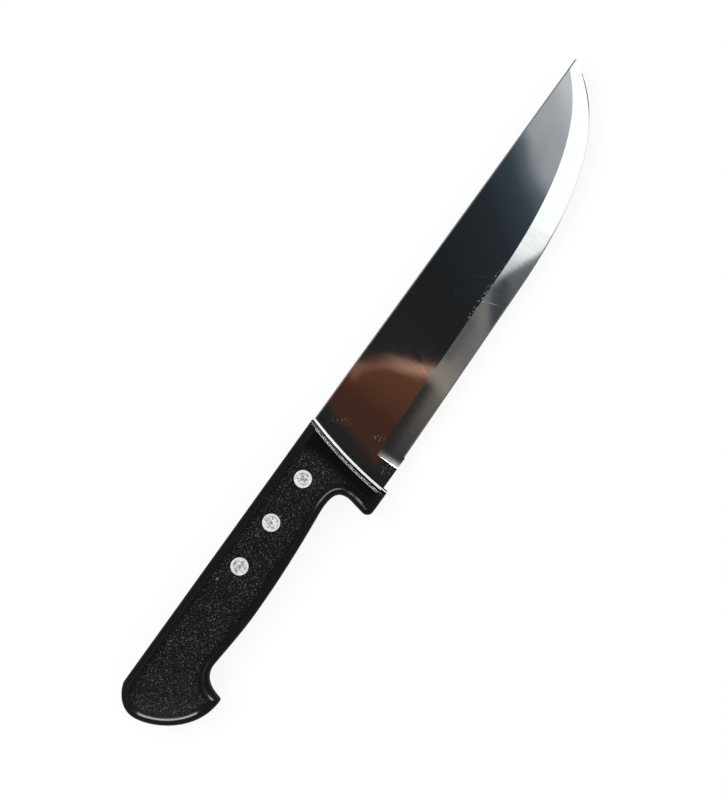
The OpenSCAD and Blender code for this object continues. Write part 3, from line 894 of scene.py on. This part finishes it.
def rectangle(half_x, half_y, z):
    """Corners of a level rectangle round the origin, counter-clockwise, in metres."""
    return [(-half_x, -half_y, z), (half_x, -half_y, z), (half_x, half_y, z), (-half_x, half_y, z)]


FLOOR_WHITE, FLOOR_GLOW, FLOOR_HALF = 0.97, 0.88, 4
m, n, glow = glow_material("floor")
paint = n.add("ShaderNodeBsdfDiffuse", {"Color": (FLOOR_WHITE, FLOOR_WHITE, FLOOR_WHITE)})
mixed = n.add("ShaderNodeMixShader", {"Fac": n.times(white_rays(n), FLOOR_GLOW)})
m.node_tree.links.new(paint.outputs[0], mixed.inputs[1])
m.node_tree.links.new(glow.outputs[0], mixed.inputs[2])
m.node_tree.links.new(mixed.outputs[0], m.node_tree.nodes["Material Output"].inputs[0])
stage_mesh("floor", rectangle(FLOOR_HALF, FLOOR_HALF, 0), [(0, 1, 2, 3)], m, glossy_only=False)

# The room that the polished metal reflects: a ceiling over the knife and low walls, in metres, and their glow
ROOM_H, ROOM_W, WALL = 0.35, 0.8, 0.22
# Share of the light that the steel gives back
STEEL_SHINE = 0.62
# How the bevel's slope shifts what it sees of the ceiling
BLADE_TOP = (DATUM[2] + HALF_BLADE) * MM
BEVEL_SLOPE = (BLADE_T - EDGE_T) / 2 / BEVEL_HEEL_W
FLAT_RISE = ROOM_H - BLADE_TOP
BEVEL_SHIFT = 2 * BEVEL_SLOPE / (1 - BEVEL_SLOPE ** 2) * FLAT_RISE / (1 + FLAT_RISE / CAMERA_D) / MM


def shone(r, g, b):
    """Glow that polished steel shows as this screen colour."""
    return tuple(v / STEEL_SHINE for v in linear(r, g, b))


# The white that the steel shows as pure white, and what it sees outside the drawn parts
PURE = tuple(1.04 * v for v in shone(250, 254, 254))
DIM = shone(38, 39, 41)


def ceiling_material():
    """The dim ceiling, drawn in the datum's millimetres at the scale at which the blade's flat shows it."""
    m, n, glow = glow_material("ceiling")
    place = n.add("ShaderNodeTexCoord").outputs["Object"]
    xyz = n.add("ShaderNodeSeparateXYZ", {0: place}).outputs
    k = FLAT_RISE / CAMERA_D
    x = n.math("MULTIPLY_ADD", xyz[0], 1 / (1 + k) / MM, look[0] * k / (1 + k) / MM - DATUM[0])
    y = n.math("MULTIPLY_ADD", xyz[1], 1 / (1 + k) / MM, look[1] * k / (1 + k) / MM - DATUM[1])
    here = n.add("ShaderNodeCombineXYZ", {0: x, 1: y}).outputs[0]
    soft = n.noise(here, 0.05, 2.0, 0.5, 0.5)

    # Over the flat: dark by the handle, a brown board with a paler rim, dark again, then grey towards the tip
    far = n.plane(x, y, 0.841, -0.541)
    far = n.math("ADD", far, n.math("MULTIPLY_ADD", soft, 6.0, -3.0))
    grey = n.ramp(far, 40, 150, [
        (45, shone(34, 33, 33)), (62, shone(28, 30, 31)), (95, shone(36, 41, 46)),
        (108, shone(53, 61, 68)), (114, shone(84, 91, 98)), (120, shone(145, 149, 152)),
        (131, shone(158, 163, 166)), (140, shone(184, 188, 191))])
    board = n.ramp(x, 0, 30, [(2, shone(60, 41, 34)), (14, shone(62, 38, 29)), (27, shone(82, 51, 36))])
    across = n.plane(x, y, 0.922, 0.388)
    across = n.math("ADD", across, n.step(y, -11, -2, 0.0, 4.5))
    rim = n.times(n.step(across, 23.6, 26.8), n.step(y, -5, -20, 0.25, 1.0))
    board = n.mix(rim, board, shone(164, 126, 106))
    board = n.mix(n.times(n.spot(x, y, 22.5, -2.4, 4.0, 3.0, soft=0.9), 0.5), board, shone(128, 96, 80))
    near_end = n.step(n.plane(x, y, 1.0, -0.29), 5.6, 8.4)
    on_board = n.times(n.step(across, 30.3, 29.2), near_end, n.step(y, -32.5, -29.5))
    flat = n.mix(on_board, grey, board)
    flat = n.mix(n.step(x, -4, -10), flat, shone(33, 31, 32))
    flat = n.mix(n.step(far, 158, 172), flat, PURE)
    flat = n.mix(n.step(x, 178, 186), flat, DIM)

    # Over the bevel: grey-green, a dark wedge, then white
    up = n.plane(x, y, -EDGE_LEAN, 1.0, BEVEL_SHIFT + 37.75)
    along = n.math("ADD", x, n.math("MULTIPLY_ADD", soft, 5.0, -4.5))
    slate = n.ramp(n.plane(along, up, 1.0, -0.25), 0, 100, [
        (4, shone(54, 52, 50)), (16, shone(70, 67, 64)), (33, shone(99, 92, 86)),
        (38, shone(128, 123, 113)), (46, shone(118, 112, 104)), (54, shone(98, 97, 94))])
    slate = n.mix(n.times(n.step(up, 3.0, 8.0), n.step(x, 41, 37), 0.95), slate, shone(40, 38, 35))
    slate = n.mix(n.times(n.step(up, 4.0, 7.5), n.step(x, 47, 52), 0.8), slate, shone(78, 79, 79))
    wedge = n.plane(along, up, 1.0, -1.4)
    slate = n.mix(n.times(n.step(wedge, 52, 61), 0.8), slate, shone(112, 113, 108))
    slate = n.mix(n.step(wedge, 65, 69.5), slate, shone(58, 63, 66))
    slate = n.mix(n.step(wedge, 77, 85), slate, shone(84, 90, 94))
    bright = n.mix(n.step(x, 93, 108), shone(190, 194, 192), shone(236, 239, 236))
    bright = n.mix(n.step(x, 110, 128), bright, PURE)
    slate = n.mix(n.step(n.plane(along, up, 1.0, 2.6), 106, 113), slate, bright)
    # The bevel looks at a narrow band of it, and the rest would show in the cove by way of the blade
    beside = n.math("ABSOLUTE", n.math("ADD", y, 95.5))
    slate = n.mix(n.times(n.step(beside, 12, 17), n.step(x, 104, 112)), slate, DIM)
    # The honed strip looks farther out: it is grey by the handle, then white, and dim at the tip
    hone = n.mix(n.step(x, 122, 158), shone(96, 97, 95), shone(232, 235, 232))
    hone = n.mix(n.step(x, 290, 370), hone, DIM)
    slate = n.mix(n.step(y, -125, -150), slate, hone)
    plan = n.mix(n.step(y, -48, -56), flat, slate)
    plan = n.mix(n.step(y, 4, 9), plan, DIM)

    # Farther out, in metres from the origin, the ceiling turns to a plain grey
    r = n.distance(xyz[0], xyz[1])
    out_x = n.step(xyz[0], 0.42, 0.52)
    out_y = n.math("MAXIMUM", n.step(xyz[1], 0.07, 0.2), n.step(xyz[1], -0.22, -0.34))
    out_back = n.step(xyz[0], -0.24, -0.36)
    out = n.math("MAXIMUM", n.math("MAXIMUM", out_x, out_y), out_back)
    plain = n.mix(n.step(r, 0.2, 0.75), (0.11, 0.112, 0.116), (WALL, WALL * 1.01, WALL * 1.03))
    plain = n.mix(n.step(n.noise(place, 3.0, 1.0), 0.48, 0.62), plain, (0.4, 0.405, 0.41))
    plain = n.mix(n.times(n.step(xyz[0], 0.38, 0.42), n.step(xyz[1], -0.18, -0.22)), plain, DIM)
    n.set(glow.inputs["Color"], n.mix(out, plan, plain))
    return m


def wall_material():
    """Walls that are dim below and have paler patches above."""
    m, n, glow = glow_material("wall")
    place = n.add("ShaderNodeTexCoord").outputs["Object"]
    bands = n.noise(n.stretch(place, (3.0, 3.0, 1.2)), 1.0, 2.0)
    xyz = n.add("ShaderNodeSeparateXYZ", {0: place}).outputs
    foot, head = (WALL * 0.4, WALL * 0.4, WALL * 0.41), (WALL, WALL, WALL * 1.02)
    patch = n.times(n.step(bands, 0.5, 0.62), n.step(xyz[2], 0.05, 0.14))
    wall = n.mix(patch, n.mix(n.step(xyz[2], 0.0, ROOM_H), foot, head), (0.6, 0.61, 0.62))
    # The honed strip sees this dim corner at the very tip
    corner_share = n.times(n.step(xyz[0], 0.5, 0.6), n.step(xyz[1], -0.2, -0.26))
    n.set(glow.inputs["Color"], n.mix(corner_share, wall, DIM))
    return m


def shade_mat_material():
    """Painted shade round the knife, seen only in reflections, so that its sides don't reflect a bright
    floor, and pale farther out.
    """
    m, n, glow = glow_material("mat")
    place = n.add("ShaderNodeTexCoord").outputs["Object"]
    xyz = n.add("ShaderNodeSeparateXYZ", {0: place}).outputs
    over_x = n.math("SUBTRACT", n.math("ABSOLUTE", xyz[0]), 0.17)
    over_y = n.math("SUBTRACT", n.math("ABSOLUTE", xyz[1]), 0.03)
    far = n.math("MAXIMUM", over_x, over_y)
    n.set(glow.inputs["Color"], n.mix(n.step(far, 0.15, 0.36), (0.10, 0.10, 0.10), (0.95, 0.95, 0.95)))
    return m


MAT_X, MAT_Y, MAT_Z = 0.55, 0.41, 5e-5
base, top = rectangle(ROOM_W, ROOM_W, 0), rectangle(ROOM_W, ROOM_W, ROOM_H)
stage_mesh("ceiling", top, [(3, 2, 1, 0)], ceiling_material())
stage_mesh("walls", base + top, [(i, (i + 1) % 4, (i + 1) % 4 + 4, i + 4) for i in range(4)], wall_material())
# A sheet seen only in reflections, dark round the knife: painted shade
stage_mesh("mat", rectangle(MAT_X, MAT_Y, MAT_Z), [(0, 1, 2, 3)], shade_mat_material())


def world_place(x, y, z):
    """Place in Blender's metres of a point in the datum's millimetres."""
    return Vector((np.array([x, y, z]) + DATUM) * MM)


def lamp(name, kind, place, towards, power, color=(1, 1, 1)):
    """New lamp that shines in the direction towards."""
    data = bpy.data.lights.new(name, kind)
    data.energy, data.color = power, color
    obj = bpy.data.objects.new(name, data)
    turn = Vector(towards).to_track_quat("-Z", "Y")
    obj.matrix_world = Matrix.Translation(place) @ turn.to_matrix().to_4x4()
    bpy.context.scene.collection.objects.link(obj)
    return obj


def shine_only(obj):
    """The lamp shows in glossy surfaces and lights nothing else."""
    obj.visible_diffuse = obj.visible_transmission = obj.visible_volume_scatter = False


def panel(name, place, towards, width, height, glow, color=(1, 1, 1)):
    """Rectangular lamp whose mirror image has the given glow."""
    obj = lamp(name, "AREA", place, towards, math.pi * width * height * glow, color)
    obj.data.shape, obj.data.size, obj.data.size_y = "RECTANGLE", width, height
    shine_only(obj)


def bulb(name, x, y, z, r, glow, color):
    """Round lamp whose mirror image has the given glow, its place and radius in the datum's millimetres."""
    obj = lamp(name, "POINT", world_place(x, y, z), (0, 0, -1), (2 * math.pi * r * MM) ** 2 * glow, color)
    obj.data.shadow_soft_size = r * MM
    shine_only(obj)


def soft_box(name, centre, r, az0, az1, el0, el1, glow):
    """Panel r metres away that spans two azimuths and two elevations in degrees, seen from centre."""
    az, el = math.radians((az0 + az1) / 2), math.radians((el0 + el1) / 2)
    out = Vector((math.cos(az) * math.cos(el), math.sin(az) * math.cos(el), math.sin(el)))
    width = 2 * r * math.tan(math.radians(az1 - az0) / 2)
    height = 2 * r * math.tan(math.radians(el1 - el0) / 2)
    panel(name, centre + out * r, -out, width, height, glow)


def panel_row(name, path, low, high, target, glow, color=(1, 1, 1)):
    """Upright panels side by side along a path, facing the target, in the datum's millimetres."""
    for k, (p, q) in enumerate(zip(path, path[1:])):
        middle = (np.array(p) + q) / 2
        face = np.array([q[1] - p[1], p[0] - q[0]])
        if face @ (np.array(target) - middle) < 0:
            face = -face
        panel(f"{name}_{k}", world_place(*middle, (low + high) / 2), (*face, 0),
              math.dist(p, q) * MM, (high - low) * MM, glow, color)


def beside_rim(az0, az1, x_end, distance, count):
    """Points beside the handle's outline behind x_end, where it faces between two azimuths."""
    out = -normals(OUTLINE)
    az = np.degrees(np.arctan2(out[:, 1], out[:, 0])) % 360
    path = (OUTLINE + out * distance)[(az > az0) & (az < az1) & (OUTLINE[:, 0] < x_end)]
    return path[np.linspace(0, len(path) - 1, count).astype(int)]


WARM = (1.0, 0.97, 0.93)
# Height of the handle's border where the streaks of light lie
RIM_Z = HALF_T - 0.6
BUTT_MIDDLE, SPINE_MIDDLE = (-115, -12), (90, 0)

# In turn: the line of light in the cove, the streak on the butt, the grey line on the spine, and the glints
# in the finger hollow and on the hook
soft_box("tip_box", world_place(0, -20, 0), 0.62, -19, -1, 1, 20, 30)
beside_butt, beside_spine = beside_rim(186, 243, -112, 12, 8), [(3, 12), (172, 12)]
panel_row("butt_panel", beside_butt, RIM_Z + 4.0, RIM_Z + 13.5, BUTT_MIDDLE, 14, WARM)
panel_row("spine_panel", beside_spine, HALF_BLADE + 0.4, HALF_BLADE + 8, SPINE_MIDDLE, 0.4)
bulb("scoop_bulb", -25.5, -31.5, RIM_Z + 4.4, 2.1, 8, WARM)
bulb("hook_bulb", -105.5, -34.5, RIM_Z + 2.9, 1.25, 15, WARM)

# The one lamp that lights the knife and casts its shadow, in metres and watts
KEY_PLACE,KEY_SIZE, KEY_POWER = Vector((-0.35, 0.75, 1.35)), 0.9, 8
key = lamp("key", "AREA", KEY_PLACE, -KEY_PLACE, KEY_POWER)
key.data.shape, key.data.size = "DISK", KEY_SIZE
key.visible_glossy = False

world = bpy.data.worlds.new("world")
bpy.context.scene.world = world
world.use_nodes = True
tree = world.node_tree
n = Nodes(tree)
tree.nodes["Background"].inputs["Color"].default_value = (1, 1, 1, 1)
n.set(tree.nodes["Background"].inputs["Strength"], n.blend(white_rays(n), 0.9, 1.0))

bpy.context.scene.view_settings.view_transform = "Standard"
